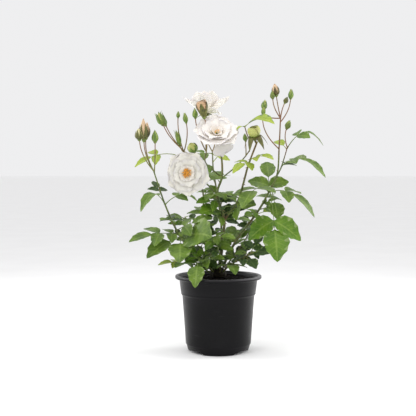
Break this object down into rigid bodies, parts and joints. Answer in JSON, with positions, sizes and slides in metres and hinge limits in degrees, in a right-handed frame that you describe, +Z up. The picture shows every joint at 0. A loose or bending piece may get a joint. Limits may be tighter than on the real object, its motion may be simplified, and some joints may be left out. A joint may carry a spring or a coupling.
{
  "type": "potted rose bush",
  "caption": "White rose bush with open blooms, buds and arching compound leaves, in a round black plastic nursery pot.",
  "frame": {"origin": "centre of the pot's flat underside", "axes": "+Z up along the pot's axis, -Y towards the side that the blooms face, +X to the right seen from there"},
  "size_m": [0.3433, 0.2045, 0.4677],
  "materials": {
    "pot": "satin charcoal black plastic",
    "soil": "moist dark potting mix",
    "bark": "rough brown bark",
    "cane": "smooth green cane",
    "foliage": "soft satin leaves and petals"
  },
  "bodies": {
    "root": {"pot": "pot", "soil": "soil", "crown": "bark", "bough_left": "cane", "bough_left_centre": "cane", "bough_centre": "cane", "bough_big_bud": "cane", "bough_right": "cane", "bough_back": "cane", "foliage_left": "foliage", "foliage_left_centre": "foliage", "foliage_centre": "foliage", "foliage_big_bud": "foliage", "foliage_right": "foliage", "foliage_back": "foliage", "foliage_back_left": "foliage", "foliage_back_right": "foliage", "foliage_front_left": "foliage", "foliage_front_right": "foliage", "foliage_front_centre": "foliage", "foliage_low_left": "foliage"}
  },
  "joints": []
}
